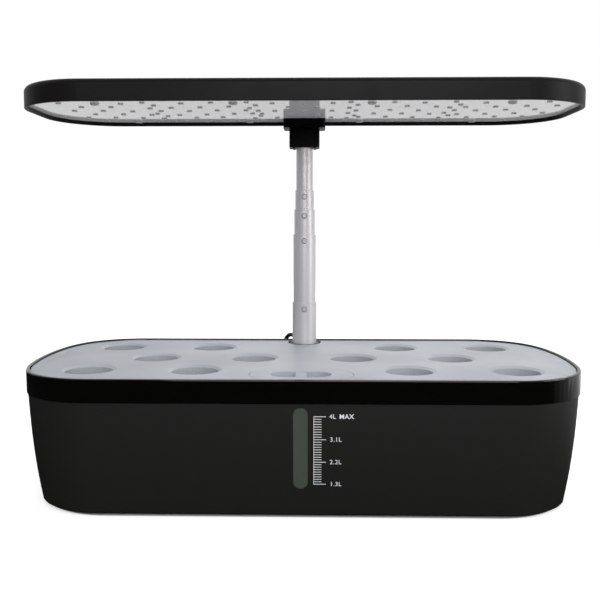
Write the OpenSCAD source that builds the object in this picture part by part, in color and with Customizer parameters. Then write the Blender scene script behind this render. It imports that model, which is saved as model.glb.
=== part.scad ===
// Countertop hydroponic garden: a water tank with a lift-off planting deck of twelve pod holes, a fill lid, a
// water window, a circulation pump and a grow lamp on a telescopic pole. Millimetres, +Z up, +X to the right,
// the front faces -Y. The origin is on the table, under the middle of the tank.

/* [Tank] */
// Width over the trim band
tank_w = 396; // [376:2:420]
// Depth over the trim band
tank_d = 186; // [186:1:200]
// Height of the trim band's top edge above the table
rim_z = 96; // [92:0.5:110]
// Corner radius of the trim band in plan
corner_r = 58; // [54:1:62]
// Wall and floor of the tank
wall_t = 2.5; // [2:0.1:3]
// Radius of the side profile, which draws the tank in towards its foot
profile_r = 430; // [360:10:600]
// Height of the glossy trim band
band_h = 16; // [14:0.5:20]
// Wall of the trim band at its top edge
band_t = 2.4; // [2:0.1:3]
// How far the trim band stands out over the tank's face
band_over = 0.6; // [0.3:0.1:1.2]
// Height of the rubber feet
foot_h = 1.2; // [1:0.1:2.5]
// Diameter of the rubber feet
foot_dia = 16; // [12:1:20]

/* [Water window] */
// Width of the window
window_w = 10; // [8:0.5:14]
// Lower end of the window above the table
window_low = 21; // [18:0.5:30]
// Upper end of the window above the table
window_high = 77.5; // [60:0.5:78]
// Flange of the window behind the wall
window_flange = 3; // [2:0.5:5]

/* [Planting deck] */
// Distance between neighbouring pod holes in a row
pod_pitch = 75; // [72:0.5:78]
// Distance between the rows
row_pitch = 51; // [48:0.5:53]
// Bore of a pod hole
pod_bore = 33; // [28:0.5:34]
// Diameter of the countersink round a pod hole
pod_rim = 38; // [36:0.5:39]
// Depth of the countersink
pod_sink = 1.5; // [1:0.1:2]
// Depth of the collar under a pod hole, from the deck's top
collar_h = 14; // [10:0.5:18]
// Thickness of the deck
deck_t = 3.2; // [3:0.1:4]
// How far the deck's top lies below the trim band's top
deck_drop = 1.1; // [0.8:0.1:2]
// How far the deck lifts off
deck_lift = 60; // [40:5:60]

/* [Fill lid] */
// Width of the fill lid
lid_w = 70.8; // [66:0.2:76]
// Depth of the fill lid
lid_d = 38.4; // [34:0.2:39]
// Distance of the lid's middle from the front of the trim band
lid_from_front = 26; // [26:0.5:28]
// Plate of the lid
lid_t = 1.7; // [1.4:0.1:2]
// Width of the finger recess
grip_w = 41.4; // [36:0.2:44]
// Depth of the finger recess, front to back
grip_d = 19.6; // [18:0.2:22]
// How deep the finger recess is
grip_h = 9; // [7:0.5:11]
// Width of the grip bar across the recess
grip_bar = 7.6; // [6:0.2:9]

/* [Pole] */
// Distance of the pole's axis from the back of the trim band
pole_from_back = 15; // [15:0.5:17]
// Outer radius of the thinnest tube
tube_r = 6.95; // [6.8:0.05:7]
// Step in radius from one tube to the next
tube_step = 0.85; // [0.8:0.01:0.86]
// Wall of the tubes
tube_wall = 0.5; // [0.45:0.01:0.55]
// Length of each sliding tube below its visible end
tube_len = 95; // [90:1:98]
// Top of the standing tube above the table
base_top_z = 130.2; // [125:0.2:140]
// Visible length of the second tube
show_4 = 57.8; // [40:0.2:80]
// Visible length of the third tube
show_3 = 21; // [15:0.2:80]
// Visible length of the fourth tube
show_2 = 16.1; // [12:0.2:80]
// Visible length of the thinnest tube
show_1 = 35.4; // [20:0.2:80]

/* [Lamp] */
// Width of the lamp
lamp_w = 412; // [390:2:430]
// Depth of the lamp
lamp_d = 140; // [136:1:150]
// Corner radius of the lamp in plan
lamp_r = 52; // [46:1:58]
// Height of the lamp's housing
lamp_h = 15.8; // [15:0.1:20]
// Wall of the lamp's housing
lamp_wall = 2.2; // [1.8:0.1:2.6]
// Rounding of the lamp's top edge
lamp_edge_r = 4.5; // [3:0.25:5]
// How far the lamp reaches behind the pole's axis
lamp_behind = 12; // [12:0.5:14]
// How far the light board lies above the housing's lower edge
board_up = 3; // [2.5:0.1:4]
// Columns of white chips on each side of the lamp's middle
chip_cols = 8; // [6:1:9]
// Distance between the columns of white chips
chip_pitch = 22; // [20:0.5:24]
// Distance between the rows of white chips
chip_row_pitch = 19; // [17:0.5:20]
// Distance between the four double columns of red chips
red_pitch = 75; // [70:1:80]

/* [Supply lead] */
// Diameter of the lead
lead_d = 3.6; // [3.2:0.1:3.8]
// Least gap wanted between the turns of the coil
coil_gap = 0.45; // [0.42:0.01:0.6]
// Turns in each layer of the coil
layer_turns = 2.5; // [1.5:1:2.5]

/* [Hidden] */
$fn = 96;

black = [0.10, 0.10, 0.10];
gloss = [0.03, 0.03, 0.03];
grey = [0.70, 0.72, 0.75];
metal = [0.66, 0.66, 0.65];
pale = [0.82, 0.82, 0.82];

// Clearances: moulded pieces that drop in, lids, running shafts, and pieces that are glued or pressed
drop_gap = 0.6;
lid_gap = 0.4;
run_gap = 0.05;
fit_gap = 0.1;

// Heights of the tank
seam_z = rim_z - band_h;
floor_z = foot_h + wall_t;
deck_z = rim_z - deck_drop;
ledge_z = deck_z - deck_t;
ledge_t = 1.6;
ledge_w = 5;
shoulder_z = ledge_z - ledge_t;
seam_gap = 0.2;
skirt_t = 1.4;
foot_fillet = 3;
foot_inset = 44;
profile_steps = 10;

// Place of the pole and its well
pole_y = tank_d / 2 - pole_from_back;
function radius_of(k) = tube_r + (k - 1) * tube_step;
base_r = radius_of(5);
well_t = 1.35;
well_bore = base_r + 0.75;
well_r = well_bore + well_t;
well_floor = 24;
bush_flange = 1;
bush_len = 32;
bush_drop = 0.2;
well_top = deck_z - bush_flange - bush_drop;
notch_r = well_r + 1.6;
gland_r = 3;
gland_z = 72;
gland_len = 2.5;

// Heights of the tubes' tops
top_5 = base_top_z;
top_4 = top_5 + show_4;
top_3 = top_4 + show_3;
top_2 = top_3 + show_2;
socket_z = top_2 + show_1;
lip_h = 1.5;
glide_h = 10;

// Lamp
lamp_y = pole_y + lamp_behind - lamp_d / 2;
socket_h = 15.4;
flange_z = socket_z + socket_h;
flange_h = 7.5;
board_z = flange_z + flange_h;
board_t = 1.6;
lamp_low = board_z - board_up;
lamp_top = lamp_low + lamp_h;
board_gap = 0.3;
flange_w = 34.6;
flange_front = 16;
flange_back = lamp_behind - lamp_wall - board_gap;
socket_w = 25.2;
socket_d = 2 * flange_back;
seat_h = 17.5;
lamp_lead_r = 2.2;
button_x = 12;
button_y = pole_y - 22;
button_r = 4.6;
button_gap = 0.3;
button_up = 0.8;
button_edge = 0.4;
button_travel = 0.5;
button_collar = 0.8;
button_flange = 1.2;
control_z = board_z + board_t + 2.6;
control_t = 1.2;
control_w = 48;
control_front = button_y - 10;
control_back = pole_y + 6;
switch_s = 6;
stem_h = 0.5;
screw_head_r = 3.4;
screw_head_h = 1.4;
screw_r = 1.4;
screw_len = 6;
screw_front_y = lamp_y - 40;
screw_rear_y = lamp_y + 58;
screw_places = [for (s = [-1, 1]) each [
    [s * 50, screw_front_y], [s * 150, screw_front_y], [s * 46, screw_rear_y], [s * 140, screw_rear_y]]];

// Pump, with its intake towards the front
pump_x = 96;
pump_y = 22;
pump_w = 44;
pump_d = 34;
pump_h = 26;
pump_front = pump_y - pump_d / 2;
cup_h = 4.2;
pump_z = floor_z + cup_h;
chamber_r = 9.5;
chamber_depth = 9;
chamber_z = pump_z + pump_h / 2;
rotor_r = 5.6;
rotor_len = 15;
rotor_gap = 0.5;
blade_r = 8.6;
blade_w = 4;
blade_t = 1.2;
blades = 6;
hub_r = 3;
shaft_r = 1;
shaft_hold = 4;
nozzle_r = 5.5;
nozzle_bore = 4;
nozzle_h = 12;
nozzle_y = pump_front + nozzle_r + 0.5;
cover_t = 2;
slot_pitch = 3.6;
slot_w = 1.8;

// Supply lead: its free stretch from the strain relief to the coil, point by point, Y counted from the pole
lead_r = lead_d / 2;
lead_points = [
    [-9.8, 17.5, 98.6], [-11.8, 21.1, 98.6], [-14.2, 25.4, 97.7], [-16.4, 29.3, 95], [-18, 32.1, 91],
    [-18.8, 33.7, 86.2], [-19, 34, 81], [-19, 34, 72], [-19, 34, 63], [-19, 34, 54], [-19, 34, 45],
    [-19, 34, 36], [-19, 34, 27], [-19, 34, 18], [-20.2, 34, 12.3], [-23.4, 34, 7.3], [-28.2, 34, 4],
    [-34, 34, 2.6], [-39, 34, 2.6], [-44, 34, 2.6]
];
lead_route = [for (p = lead_points) p + [0, pole_y, 0]];
relief_len = 8;
relief_r = 2.4;
relief_tip_r = 2;
lead_end = lead_route[len(lead_route) - 1];
boss_r = 3.2;
web_w = 5;

// Coil: four layers that wind in, out, in and out, held by a tie that the coil rests on
coil_layers = 4;
tie_w = 6;
tie_t = 0.7;
tie_gap = 0.1;
coil_pitch = lead_d + coil_gap;
coil_mean_r = 20;
coil_out_r = coil_mean_r + layer_turns * coil_pitch / 2;
coil_x = lead_end[0] - lead_d;
coil_y = lead_end[1] + coil_out_r;
coil_z = lead_end[2];
coil_turns = coil_layers * layer_turns;
loop_rings = 24;
coil_steps = coil_turns * loop_rings;
// How far turn t has gone into its layer's inward or outward run, from 0 at the outside to layer_turns inside
function inward(t) = let (m = t % (2 * layer_turns)) m <= layer_turns ? m : 2 * layer_turns - m;
// Height of turn t in layers: it climbs one layer in the half turn round each reversal
function layer_of(t) = let (k = floor(t / layer_turns + 0.5), d = t - k * layer_turns)
    k < 1 ? 0 : k > coil_layers - 1 ? coil_layers - 1
    : abs(d) <= 0.25 ? k - 0.5 + 2 * d : d < 0 ? k - 1 : k;
function coil_point(t) = let (r = coil_out_r - coil_pitch * inward(t), a = -90 - 360 * t)
    [coil_x + r * cos(a), coil_y + r * sin(a), coil_z + coil_pitch * layer_of(t)];
coil_path = concat(
    [lead_end],
    [for (i = [0 : coil_steps]) coil_point(i / loop_rings)],
    [coil_point(coil_turns) - [lead_d, 0, 0]]);
coil_least = min([for (i = [0 : coil_steps - 1], j = [i + loop_rings / 2 : coil_steps])
    norm(coil_point(i / loop_rings) - coil_point(j / loop_rings))]) - lead_d;
echo(coil_least_gap = coil_least);

// Adapter at the lead's far end
coil_exit = coil_point(coil_turns) - [lead_d, 0, 0];
plug_relief = 12;
plug_relief_r = 3.2;
adapter_w = 64;
adapter_d = 27;
adapter_h = 40;
adapter_y = coil_exit[1];
adapter_x = coil_exit[0] - plug_relief - adapter_w;
adapter_corner = 4;
adapter_groove = 0.5;
prong_gap = 12.7;
prong_len = 16;
prong_w = 6.3;
prong_t = 1.5;
prong_inset = 12;

// ---------- Shapes that repeat ----------

// Sweeps a section round a rounded rectangle; x is the distance outside its outline, y is the height
module swept(w, d, r) {
    for (k = [0 : 3]) {
        out = k % 2 == 0 ? w / 2 : d / 2;
        run = k % 2 == 0 ? d - 2 * r : w - 2 * r;
        rotate(90 * k) {
            translate([out, run / 2, 0]) rotate([90, 0, 0]) linear_extrude(run) children();
            translate([out - r, run / 2, 0]) rotate_extrude(angle = 90) translate([r, 0]) children();
        }
    }
}

// A flat plate with round corners
module plate(w, d, r, h) {
    translate([-w / 2, -d / 2 + r, 0]) cube([w, d - 2 * r, h]);
    translate([-w / 2 + r, -d / 2, 0]) cube([w - 2 * r, d, h]);
    for (x = [-1, 1], y = [-1, 1]) translate([x * (w / 2 - r), y * (d / 2 - r), 0]) cylinder(h = h, r = r);
}

// The tank's outline, moved inwards
module tank_plate(inset, h) plate(tank_w - 2 * inset, tank_d - 2 * inset, corner_r - inset, h);

// A long hole or a bar with round ends, along X
module stadium(w, d, h) {
    translate([-(w - d) / 2, -d / 2, 0]) cube([w - d, d, h]);
    for (x = [-1, 1]) translate([x * (w - d) / 2, 0, 0]) cylinder(h = h, d = d);
}

// A round ring
module ring(outer, inner, h) difference() {
    cylinder(h = h, r = outer);
    translate([0, 0, -1]) cylinder(h = h + 2, r = inner);
}

// A closed tube through the rings of a path, with n sides
function unit(v) = v / norm(v);
function along(path, i) = let (last = len(path) - 1)
    unit(i == 0 ? path[1] - path[0] : i == last ? path[last] - path[last - 1]
        : unit(path[i + 1] - path[i]) + unit(path[i] - path[i - 1]));
// The side direction is carried from ring to ring, so that the tube doesn't twist
function carried(side, dir) = unit(side - (side * dir) * dir);
function sides_of(path, first) = [for (i = 0, s = carried(first, along(path, 0)); i < len(path);
    i = i + 1, s = carried(s, along(path, min(i, len(path) - 1)))) s];
module tube_along(path, r, n, first) {
    side = sides_of(path, first);
    rings = [for (i = [0 : len(path) - 1], k = [0 : n - 1])
        let (up = cross(along(path, i), side[i]), a = 360 * (k + 0.5) / n)
            path[i] + r * (cos(a) * side[i] + sin(a) * up)];
    last = (len(path) - 1) * n;
    walls = [for (i = [0 : len(path) - 2], k = [0 : n - 1])
        let (a = i * n + k, b = i * n + (k + 1) % n) each [[a, b, b + n], [a, b + n, a + n]]];
    ends = [for (k = [1 : n - 2]) each [[0, k + 1, k], [last, last + k, last + k + 1]]];
    polyhedron(points = rings, faces = [for (f = concat(walls, ends)) [f[0], f[2], f[1]]]);
}

// ---------- Tank ----------

// How far the tank's face lies inside the trim band's outline at height z
function draw_in(z) = band_over + profile_r - sqrt(pow(profile_r, 2) - pow(rim_z - z, 2));
// Heights of the profile's points, from the foot's fillet up to the seam
low_z = foot_h + foot_fillet;
profile_z = [for (i = [0 : profile_steps]) low_z + i * (seam_z - low_z) / profile_steps];
upper_in = skirt_t + fit_gap;
inner_in = draw_in(seam_z) + wall_t;
floor_in = draw_in(foot_h) + 10;

module tank_section() {
    fillet = [for (a = [-90 : 22.5 : -22.5])
        [-draw_in(low_z) - foot_fillet + foot_fillet * cos(a), low_z + foot_fillet * sin(a)]];
    outer = [for (z = profile_z) [-draw_in(z), z]];
    inner = [for (i = [profile_steps : -1 : 0]) [-draw_in(profile_z[i]) - wall_t, profile_z[i]]];
    polygon(concat(
        [[-floor_in, foot_h]], fillet, outer,
        [[-upper_in, seam_z], [-upper_in, shoulder_z], [-inner_in, shoulder_z]], inner,
        [[-floor_in, floor_z]]));
}

// A strip of the front wall between two depths behind its face
module front_strip(w, near, far, low, high) {
    steps = 8;
    zs = [for (i = [0 : steps]) low + i * (high - low) / steps];
    translate([-w / 2, -tank_d / 2, 0]) rotate([90, 0, 90]) linear_extrude(w)
        polygon(concat(
            [for (z = zs) [draw_in(z) + near, z]],
            [for (i = [steps : -1 : 0]) [draw_in(zs[i]) + far, zs[i]]]));
}

// The window's outline, run through the front wall
module window_shape(grow) {
    w = window_w + 2 * grow;
    translate([0, -tank_d / 2 - 1, (window_low + window_high) / 2]) rotate([-90, 90, 0])
        stadium(window_high - window_low + 2 * grow, w, 30);
}

module tank() color(black) difference() {
    union() {
        swept(tank_w, tank_d, corner_r) tank_section();
        translate([0, 0, foot_h]) tank_plate(floor_in - 1, wall_t);
        // The pole's well, moulded against the rear wall, and the gland of the pump's lead on its side
        translate([0, pole_y, foot_h]) cylinder(h = well_top - foot_h, r = well_r);
        translate([well_bore + well_t / 2, pole_y, gland_z]) rotate([0, 90, 0])
            cylinder(h = gland_len + well_t / 2, r = gland_r);
    }
    translate([0, pole_y, well_floor]) cylinder(h = rim_z, r = well_bore);
    window_shape(0);
}

module band_section() {
    edge = 0.8;
    polygon(concat(
        [[-skirt_t, seam_z + seam_gap], [0, seam_z + seam_gap]],
        [for (a = [0 : 22.5 : 90]) [-edge + edge * cos(a), rim_z - edge + edge * sin(a)]],
        [[-band_t, rim_z], [-band_t, ledge_z], [-band_t - ledge_w, ledge_z], [-band_t - ledge_w, shoulder_z],
         [-skirt_t, shoulder_z]]));
}

module rim_band() color(gloss) difference() {
    swept(tank_w, tank_d, corner_r) band_section();
    // Room in the ledge for the pole's well
    translate([0, pole_y, shoulder_z - 1]) cylinder(h = band_h, r = well_r + fit_gap);
}

module water_window() color([0.25, 0.27, 0.25]) {
    intersection() {
        front_strip(window_w, 0.5, wall_t, window_low - 2, window_high + 2);
        window_shape(-fit_gap);
    }
    intersection() {
        front_strip(window_w + 2 * window_flange, wall_t, wall_t + 1.5, window_low - 4, seam_z - 0.5);
        window_shape(window_flange);
    }
}

module feet() color([0.06, 0.06, 0.06])
    for (x = [-1, 1], y = [-1, 1])
        translate([x * (tank_w / 2 - foot_inset), y * (tank_d / 2 - foot_inset), 0]) {
            cylinder(h = foot_h / 2, r1 = (foot_dia - foot_h) / 2, r2 = foot_dia / 2);
            translate([0, 0, foot_h / 2]) cylinder(h = foot_h / 2, d = foot_dia);
        }

// ---------- Pole ----------

// Direction in which the supply lead leaves the pole's foot, and its height
outlet = lead_route[0] - [0, pole_y, 0];
outlet_dir = unit([outlet[0], outlet[1]]);
outlet_out = norm([outlet[0], outlet[1]]);
outlet_z = lead_route[0][2];
boss_out = outlet_out - relief_len;

// Turns a shape along +Z so that it points out of the pole's foot, the way the lead leaves
module at_outlet(from) translate([outlet_dir[0] * from, pole_y + outlet_dir[1] * from, outlet_z])
    rotate([0, 90, atan2(outlet_dir[1], outlet_dir[0])]) children();

module pole_bush() color(black) difference() {
    union() {
        translate([0, pole_y, well_top - bush_len]) cylinder(h = bush_len, r = well_bore - run_gap);
        translate([0, pole_y, well_top]) cylinder(h = bush_flange, r = well_r);
        // Outlet boss behind the pole, on the web that carries it
        at_outlet(0) linear_extrude(boss_out) {
            circle(r = boss_r);
            translate([0, -web_w / 2]) square([outlet_z - well_top - bush_flange / 2, web_w]);
        }
    }
    translate([0, pole_y, 0]) cylinder(h = rim_z + 20, r = base_r + run_gap);
}

// A tube of the pole: its top end is rolled in to guide the next tube, and a dimple marks its front
module pole_tube(k, top, length) {
    r = radius_of(k);
    bore = r - tube_wall;
    guide = radius_of(k - 1) + run_gap;
    edge = 0.3;
    translate([0, pole_y, top - length]) difference() {
        union() {
            ring(r, bore, length - edge);
            translate([0, 0, length - lip_h]) ring(bore + tube_wall / 2, guide, lip_h);
            translate([0, 0, length - edge]) difference() {
                cylinder(h = edge, r1 = r, r2 = r - edge);
                translate([0, 0, -1]) cylinder(h = 2, r = guide);
            }
        }
        translate([0, -r - 5.7, length - 5.5]) sphere(r = 6);
    }
}

// The glide round the foot of a sliding tube
module glide(k, top, length) {
    r = radius_of(k);
    translate([0, pole_y, top - length]) ring(radius_of(k + 1) - tube_wall - run_gap, r, glide_h);
}

module tube_5() color(metal) pole_tube(5, top_5, top_5 - well_floor);
module tube_4() color(metal) pole_tube(4, top_4, tube_len);
module glide_4() color(pale) glide(4, top_4, tube_len);
module tube_3() color(metal) pole_tube(3, top_3, tube_len);
module glide_3() color(pale) glide(3, top_3, tube_len);
module tube_2() color(metal) pole_tube(2, top_2, tube_len);
module glide_2() color(pale) glide(2, top_2, tube_len);
module tube_1() color(metal) translate([0, pole_y, socket_z - tube_len])
    ring(tube_r, tube_r - tube_wall, tube_len + seat_h);
module glide_1() color(pale) glide(1, socket_z, tube_len);

// ---------- Planting deck and fill lid ----------

pod_places = concat(
    [for (x = [-2, -1, 1, 2], y = [-1, 1]) [x * pod_pitch, y * row_pitch]],
    [for (x = [-1.5, -0.5, 0.5, 1.5]) [x * pod_pitch, 0]]);
deck_in = band_t + drop_gap;
border_w = 5;
border_drop = 0.8;
border_slope = 2;
lid_y = -tank_d / 2 + lid_from_front;
lid_seat = 4;
lid_tub_t = 1.4;
bar_drop = 0.4;
bar_h = 4.6;
collar_t = 1.4;

// The deck before its holes are cut: a flat field inside a lower border
module deck_blank() {
    inside = deck_in + border_w + border_slope;
    low = deck_z - border_drop;
    overlap = 8;
    swept(tank_w, tank_d, corner_r) polygon([
        [-deck_in, ledge_z], [-deck_in, low], [-deck_in - border_w, low],
        [-inside, deck_z], [-inside - overlap, deck_z], [-inside - overlap, ledge_z]]);
    translate([0, 0, ledge_z]) tank_plate(inside + overlap - 1, deck_t);
}

module deck() color(grey) difference() {
    union() {
        deck_blank();
        for (p = pod_places) translate([p[0], p[1], deck_z - collar_h])
            cylinder(h = collar_h - deck_t / 2, r = pod_bore / 2 + collar_t);
    }
    for (p = pod_places) translate([p[0], p[1], deck_z]) {
        translate([0, 0, -collar_h - 1]) cylinder(h = collar_h + 2, d = pod_bore);
        translate([0, 0, -pod_sink]) cylinder(h = pod_sink, d1 = pod_bore, d2 = pod_rim);
    }
    // Seat of the fill lid and the opening under it
    translate([0, lid_y, deck_z - lid_t]) stadium(lid_w + 2 * lid_gap, lid_d + 2 * lid_gap, lid_t + 1);
    translate([0, lid_y, ledge_z - 1])
        stadium(lid_w - 2 * lid_seat, lid_d - 2 * lid_seat, deck_t + 2);
    // Notch for the pole, open to the rear
    translate([0, pole_y, ledge_z - 1]) {
        cylinder(h = deck_t + 2, r = notch_r);
        translate([-notch_r, 0, 0]) cube([2 * notch_r, tank_d, deck_t + 2]);
    }
}

module fill_lid() color(grey) {
    tub_w = grip_w + 2 * lid_tub_t;
    tub_d = grip_d + 2 * lid_tub_t;
    difference() {
        union() {
            intersection() {
                deck_blank();
                translate([0, lid_y, deck_z - lid_t]) stadium(lid_w, lid_d, lid_t + 1);
            }
            translate([0, lid_y, deck_z - grip_h - lid_tub_t])
                stadium(tub_w, tub_d, grip_h + lid_tub_t - lid_t / 2);
        }
        translate([0, lid_y, deck_z - grip_h]) stadium(grip_w, grip_d, grip_h + 1);
    }
    // The bar that the fingers pinch
    translate([-grip_bar / 2, lid_y - (grip_d + lid_tub_t) / 2, deck_z - bar_drop - bar_h])
        cube([grip_bar, grip_d + lid_tub_t, bar_h]);
}

// ---------- Lamp ----------

module lamp_section() {
    edge = lamp_edge_r;
    inner_edge = max(edge - lamp_wall, 0.5);
    top_in = lamp_top - lamp_wall;
    polygon(concat(
        [[-lamp_wall, lamp_low], [-0.4, lamp_low], [0, lamp_low + 0.4]],
        [for (a = [0 : 15 : 90]) [-edge + edge * cos(a), lamp_top - edge + edge * sin(a)]],
        [[-20, lamp_top], [-20, top_in]],
        [for (a = [90 : -15 : 0])
            [-lamp_wall - inner_edge + inner_edge * cos(a), top_in - inner_edge + inner_edge * sin(a)]]));
}

module lamp_plate(inset, h) translate([0, lamp_y, 0])
    plate(lamp_w - 2 * inset, lamp_d - 2 * inset, lamp_r - inset, h);

module lamp_housing() color(black) difference() {
    union() {
        translate([0, lamp_y, 0]) swept(lamp_w, lamp_d, lamp_r) lamp_section();
        translate([0, 0, lamp_top - lamp_wall]) lamp_plate(19, lamp_wall);
        // Posts that take the screws
        for (p = screw_places) translate([p[0], p[1], board_z + board_t])
            cylinder(h = lamp_top - lamp_wall / 2 - board_z - board_t, r = 3.5);
    }
    for (p = screw_places) translate([p[0], p[1], board_z]) cylinder(h = screw_len + 2, r = screw_r);
    for (x = [-1, 1]) translate([x * button_x, button_y, lamp_top - lamp_wall - 1])
        cylinder(h = lamp_wall + 2, r = button_r + button_gap);
}

module led_board() color(pale) difference() {
    translate([0, 0, board_z]) lamp_plate(lamp_wall + board_gap, board_t);
    for (p = screw_places)
        translate([p[0], p[1], board_z - 1]) cylinder(h = board_t + 2, r = screw_r + fit_gap);
    translate([0, pole_y, board_z - 1]) cylinder(h = board_t + 2, r = lamp_lead_r + fit_gap);
}

// White chips stand in staggered, bowed rows, and red ones in four double columns. None stands at a screw,
// under the socket or past the board's round corners
chip_size = [3.6, 2.8, 0.8];
chip_margin = 7;
chip_apart = 7.5;
chip_half_rows = 3;
red_half_rows = 4;
red_row_pitch = 14;
red_zigzag = 2.8;
function on_board(p) = let (x = max(abs(p[0]) - lamp_w / 2 + lamp_r, 0),
    y = max(abs(p[1] - lamp_y) - lamp_d / 2 + lamp_r, 0)) norm([x, y]) < lamp_r - chip_margin;
function near_any(p, places, reach) = min([for (s = places) norm(p - s)]) < reach;
function at_socket(p) = abs(p[0]) < flange_w / 2 + 4 && p[1] > pole_y - flange_front - 4;
function chip_fits(p) = on_board(p) && !near_any(p, screw_places, chip_apart) && !at_socket(p);
red_places = [for (x = [-1.5 : 1.5], j = [-red_half_rows : red_half_rows])
    let (p = [x * red_pitch + (j % 2 == 0 ? red_zigzag : -red_zigzag), lamp_y + j * red_row_pitch])
        if (chip_fits(p)) p];
white_places = [for (i = [-chip_cols : chip_cols], j = [-chip_half_rows : chip_half_rows])
    let (p = [(i + (j % 2 == 0 ? 0 : 0.5)) * chip_pitch, lamp_y + j * chip_row_pitch + 3 * cos(i * 70)])
        if (chip_fits(p) && !near_any(p, red_places, chip_apart)) p];

module chips(places) for (p = places)
    translate([p[0] - chip_size[0] / 2, p[1] - chip_size[1] / 2, board_z - chip_size[2]]) cube(chip_size);

module white_leds() color([0.93, 0.90, 0.55]) chips(white_places);
module red_leds() color([0.55, 0.25, 0.25]) chips(red_places);

module lamp_screws() color(metal) for (p = screw_places) translate([p[0], p[1], board_z - screw_head_h])
    difference() {
        union() {
            cylinder(h = screw_head_h, r1 = screw_head_r - 0.6, r2 = screw_head_r);
            translate([0, 0, screw_head_h]) cylinder(h = screw_len, r = screw_r);
        }
        // Cross recess
        for (a = [0, 90]) rotate(a) translate([-1.9, -0.4, -1]) cube([3.8, 0.8, 1.7]);
    }

// Socket that clamps the pole under the lamp
module lamp_socket() color(black) {
    flange_d = flange_front + flange_back;
    tab_w = 1.8;
    tab_h = 0.9;
    translate([0, pole_y, 0]) difference() {
        union() {
            translate([0, 0, socket_z]) plate(socket_w, socket_d, 2.5, socket_h + 1);
            translate([0, flange_back - flange_d / 2, flange_z]) plate(flange_w, flange_d, 3, flange_h);
            for (x = [-1, 1])
                translate([x * (tube_r + tab_w) - tab_w / 2, 2 - socket_d / 2, socket_z - tab_h])
                    cube([tab_w, socket_d - 4, tab_h + 1]);
        }
        translate([0, 0, socket_z - 2]) cylinder(h = seat_h + 2, r = tube_r);
        translate([0, 0, socket_z]) cylinder(h = socket_h + flange_h + 1, r = lamp_lead_r);
    }
}

module control_board() color([0.12, 0.35, 0.20]) {
    spacer = control_z - board_z - board_t;
    corner_in = 3;
    translate([-control_w / 2, control_front, control_z])
        cube([control_w, control_back - control_front, control_t]);
    for (x = [-1, 1], y = [control_front + corner_in, control_back - corner_in])
        translate([x * (control_w / 2 - corner_in), y, board_z + board_t])
            cylinder(h = spacer + control_t / 2, r = 1.6);
}

button_low = lamp_top - lamp_wall - button_collar;
switch_top = button_low - button_travel;
switch_z = control_z + control_t;
module tact_switches() color([0.2, 0.2, 0.2]) for (x = [-1, 1]) translate([x * button_x, button_y, 0]) {
    translate([-switch_s / 2, -switch_s / 2, switch_z])
        cube([switch_s, switch_s, switch_top - stem_h - switch_z]);
    translate([0, 0, switch_top - stem_h]) cylinder(h = stem_h, r = 1.7);
}

module button(x) translate([x, button_y, 0]) {
    cap_z = lamp_top + button_up - button_edge;
    translate([0, 0, button_low]) cylinder(h = button_collar, r = button_r + button_flange);
    translate([0, 0, button_low]) cylinder(h = cap_z - button_low, r = button_r);
    translate([0, 0, cap_z]) cylinder(h = button_edge, r1 = button_r, r2 = button_r - button_edge);
}
module light_button() color([0.3, 0.3, 0.3]) button(-button_x);
module mode_button() color([0.3, 0.3, 0.3]) button(button_x);

// The lamp's wire runs up the thinnest tube to the control board
lamp_lead_low = 4;
module lamp_lead() color(black) translate([0, pole_y, socket_z - tube_len + lamp_lead_low])
    cylinder(h = control_z - socket_z + tube_len - lamp_lead_low, r = lamp_lead_r);

// ---------- Pump ----------

// Turns a shape along +Z so that it points to the pump's front, from a depth behind its face
module from_pump(depth) translate([pump_x, pump_front + depth, chamber_z]) rotate([90, 0, 0]) children();

rotor_end = chamber_depth + rotor_len;

module pump_body() color(black) difference() {
    translate([pump_x, pump_y, pump_z]) plate(pump_w, pump_d, 5, pump_h);
    // Impeller chamber and rotor well, open to the front
    from_pump(chamber_depth) cylinder(h = chamber_depth + 1, r = chamber_r);
    from_pump(rotor_end) cylinder(h = rotor_len + 1, r = rotor_r + rotor_gap);
    // Way up to the nozzle
    translate([pump_x, nozzle_y, chamber_z]) cylinder(h = pump_h, r = nozzle_bore);
    // Blind hole that holds the shaft
    from_pump(rotor_end + shaft_hold) cylinder(h = shaft_hold + 1, r = shaft_r);
}

// Intake grille in front of the impeller
module pump_cover() color(black) translate([pump_x, pump_front, pump_z]) difference() {
    margin = 2;
    frame = 7;
    translate([margin - pump_w / 2, -cover_t, margin])
        cube([pump_w - 2 * margin, cover_t, pump_h - 2 * margin]);
    for (i = [-5 : 4]) translate([(i + 0.5) * slot_pitch - slot_w / 2, -cover_t - 1, frame])
        cube([slot_w, cover_t + 2, pump_h - 2 * frame]);
}

module pump_nozzle() color(black)
    translate([pump_x, nozzle_y, pump_z + pump_h]) ring(nozzle_r, nozzle_bore, nozzle_h);

module impeller_shaft() color(pale)
    from_pump(rotor_end + shaft_hold) cylinder(h = rotor_end + shaft_hold, r = shaft_r);

module impeller() color([0.75, 0.75, 0.78]) {
    root = 2;
    from_pump(rotor_end - 1) difference() {
        union() {
            cylinder(h = rotor_len, r = rotor_r);
            translate([0, 0, rotor_len]) cylinder(h = blade_w, r = hub_r);
            for (i = [0 : blades - 1]) rotate(360 * i / blades)
                translate([root, -blade_t / 2, rotor_len - 0.5])
                    cube([blade_r - root, blade_t, blade_w + 0.5]);
        }
        translate([0, 0, -1]) cylinder(h = rotor_end + 2, r = shaft_r + run_gap);
    }
}

module suction_cups() color([0.08, 0.08, 0.08]) {
    stem = 1.5;
    for (x = [-1, 1], y = [-1, 1]) translate([pump_x + x * 14, pump_y + y * 10, floor_z]) {
        cylinder(h = cup_h - stem, r1 = 6, r2 = 2.5);
        translate([0, 0, cup_h - stem]) cylinder(h = stem, r = 2.5);
    }
}

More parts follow.
